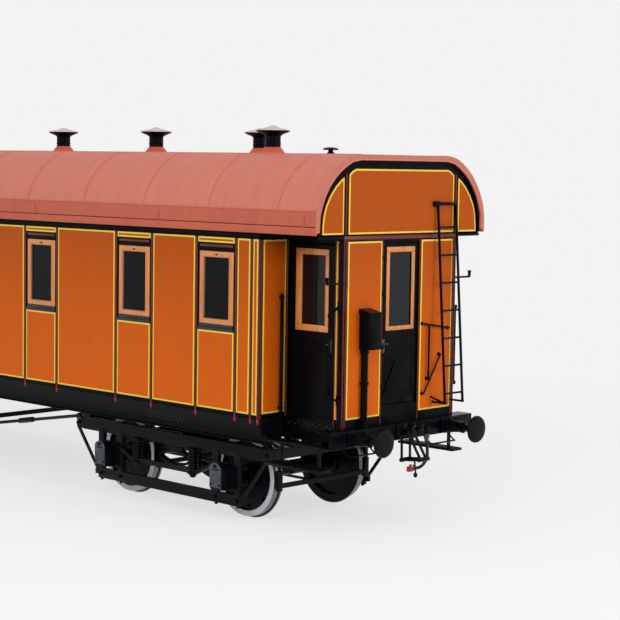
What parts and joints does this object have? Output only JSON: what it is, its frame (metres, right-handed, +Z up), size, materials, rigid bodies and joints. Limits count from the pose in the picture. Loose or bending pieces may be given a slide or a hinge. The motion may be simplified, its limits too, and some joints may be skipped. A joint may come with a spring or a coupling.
{
  "type": "passenger coach",
  "caption": "Wooden-bodied railway passenger coach on two bogies, with open step recesses, end vestibules, roof ventilators, buffers and hinged doors.",
  "frame": {"origin": "bottom centre of the bounding box, midway between the ends and sides, at the lowest point of the wheel flanges", "axes": "+X towards the front end, along the coach; +Y towards its left side; +Z up"},
  "size_m": [19.48, 3.128, 5.0189],
  "materials": {
    "black_paint": "gloss black enamel",
    "door_paint": "wood painted gloss black",
    "varnished_wood": "satin varnish",
    "orange_paint": "satin orange paint over boards",
    "pale_wood": "clear varnish",
    "glass": "clear",
    "roof_paint": "oxide red sheet",
    "wheel_steel": "black with white tyre faces",
    "rubber": "matt",
    "red_paint": "gloss red"
  },
  "bodies": {
    "coach": {"underframe": "black_paint", "truss_rods": "black_paint", "floor": "varnished_wood", "left_side_wall": "orange_paint", "right_side_wall": "orange_paint", "left_window_frames": "pale_wood", "right_window_frames": "pale_wood", "left_window_glass": "glass", "right_window_glass": "glass", "front_bulkhead": "orange_paint", "rear_bulkhead": "orange_paint", "front_vestibule": "orange_paint", "rear_vestibule": "orange_paint", "front_gable": "orange_paint", "rear_gable": "orange_paint", "roof": "roof_paint", "ventilators": "roof_paint", "front_buffers": "black_paint", "rear_buffers": "black_paint", "front_coupling": "black_paint", "rear_coupling": "black_paint", "front_steps": "black_paint", "rear_steps": "black_paint", "front_handrails": "black_paint", "rear_handrails": "black_paint", "front_ladder": "black_paint", "rear_ladder": "black_paint", "front_end_box": "black_paint", "rear_end_box": "black_paint", "front_hose_pipe": "black_paint", "rear_hose_pipe": "black_paint", "front_brake_hose": "rubber", "rear_brake_hose": "rubber", "front_hose_end": "red_paint", "rear_hose_end": "red_paint", "seats": "varnished_wood", "partitions": "varnished_wood"},
    "front_bogie": {"front_bogie_frame": "black_paint", "front_bolster": "black_paint", "front_axle_boxes": "black_paint", "front_springs": "black_paint", "front_brake_gear": "black_paint"},
    "rear_bogie": {"rear_bogie_frame": "black_paint", "rear_bolster": "black_paint", "rear_axle_boxes": "black_paint", "rear_springs": "black_paint", "rear_brake_gear": "black_paint"},
    "front_outer_wheelset": {"front_outer_wheelset": "wheel_steel"},
    "front_inner_wheelset": {"front_inner_wheelset": "wheel_steel"},
    "rear_outer_wheelset": {"rear_outer_wheelset": "wheel_steel"},
    "rear_inner_wheelset": {"rear_inner_wheelset": "wheel_steel"},
    "front_left_door": {"front_left_door": "door_paint"},
    "front_right_door": {"front_right_door": "door_paint"},
    "front_end_door": {"front_end_door": "door_paint"},
    "rear_left_door": {"rear_left_door": "door_paint"},
    "rear_right_door": {"rear_right_door": "door_paint"},
    "rear_end_door": {"rear_end_door": "door_paint"}
  },
  "joints": [
    {"name": "front_bogie_pivot", "type": "hinge", "parent": "coach", "child": "front_bogie", "pos_m": [6.206, 0, 1.04], "axis": [0, 0, 1], "range_deg": [-4, 4]},
    {"name": "rear_bogie_pivot", "type": "hinge", "parent": "coach", "child": "rear_bogie", "pos_m": [-6.206, 0, 1.04], "axis": [0, 0, 1], "range_deg": [-4, 4]},
    {"name": "front_outer_axle", "type": "hinge", "parent": "front_bogie", "child": "front_outer_wheelset", "pos_m": [7.346, 0, 0.553], "axis": [0, 1, 0], "continuous": true},
    {"name": "front_inner_axle", "type": "hinge", "parent": "front_bogie", "child": "front_inner_wheelset", "pos_m": [5.066, 0, 0.553], "axis": [0, 1, 0], "continuous": true},
    {"name": "rear_outer_axle", "type": "hinge", "parent": "rear_bogie", "child": "rear_outer_wheelset", "pos_m": [-7.346, 0, 0.553], "axis": [0, 1, 0], "continuous": true},
    {"name": "rear_inner_axle", "type": "hinge", "parent": "rear_bogie", "child": "rear_inner_wheelset", "pos_m": [-5.066, 0, 0.553], "axis": [0, 1, 0], "continuous": true},
    {"name": "front_left_door_hinge", "type": "hinge", "parent": "coach", "child": "front_left_door", "pos_m": [8.241, 0.972, 2.5], "axis": [0, 0, -1], "range_deg": [0, 90]},
    {"name": "front_right_door_hinge", "type": "hinge", "parent": "coach", "child": "front_right_door", "pos_m": [8.241, -0.972, 2.5], "axis": [0, 0, 1], "range_deg": [0, 90]},
    {"name": "front_end_door_hinge", "type": "hinge", "parent": "coach", "child": "front_end_door", "pos_m": [9.116, 0.332, 2.6], "axis": [0, 0, -1], "range_deg": [0, 90]},
    {"name": "rear_left_door_hinge", "type": "hinge", "parent": "coach", "child": "rear_left_door", "pos_m": [-8.241, 0.972, 2.5], "axis": [0, 0, 1], "range_deg": [0, 90]},
    {"name": "rear_right_door_hinge", "type": "hinge", "parent": "coach", "child": "rear_right_door", "pos_m": [-8.241, -0.972, 2.5], "axis": [0, 0, -1], "range_deg": [0, 90]},
    {"name": "rear_end_door_hinge", "type": "hinge", "parent": "coach", "child": "rear_end_door", "pos_m": [-9.116, -0.332, 2.6], "axis": [0, 0, -1], "range_deg": [0, 90]}
  ]
}
